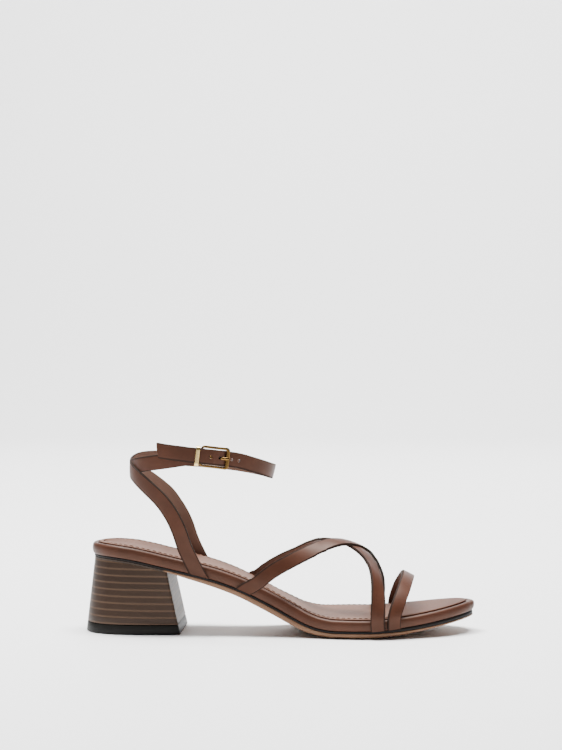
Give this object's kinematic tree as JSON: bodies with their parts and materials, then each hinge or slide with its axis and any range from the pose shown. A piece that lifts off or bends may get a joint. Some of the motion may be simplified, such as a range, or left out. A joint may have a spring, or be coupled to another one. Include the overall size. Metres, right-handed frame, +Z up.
{
  "type": "strappy heeled sandal",
  "caption": "Right sandal with crossed instep straps, a toe strap, a buckled strap round the ankle and a stacked block heel.",
  "frame": {"origin": "on the floor, under the middle of the shoe's bounding box", "axes": "+X towards the toe, +Y towards the inner side of the right foot, +Z up"},
  "size_m": [0.2398, 0.0808, 0.1172],
  "materials": {
    "outsole": "smooth beige leather-look sole, matte",
    "midsole": "black edge line, satin",
    "rim_leather": "smooth brown leather wrapped round the footbed's rim",
    "sock_leather": "pale taupe lining leather with brown stitching near its edge",
    "heel_stack": "dark brown stacked layers with thin pale lines, waxed",
    "lift_rubber": "dark grey rubber, matte",
    "strap_leather": "smooth brown leather with dark cut edges",
    "buckle_metal": "polished pale gold",
    "keeper_metal": "satin pale gold"
  },
  "bodies": {
    "root": {"outsole": "outsole", "midsole": "midsole", "footbed": "rim_leather", "sock_lining": "sock_leather", "heel_block": "heel_stack", "top_lift": "lift_rubber", "toe_strap": "strap_leather", "instep_straps": "strap_leather", "ankle_straps": "strap_leather", "buckle_frame": "buckle_metal", "buckle_prong": "buckle_metal", "keeper": "keeper_metal"}
  },
  "joints": []
}
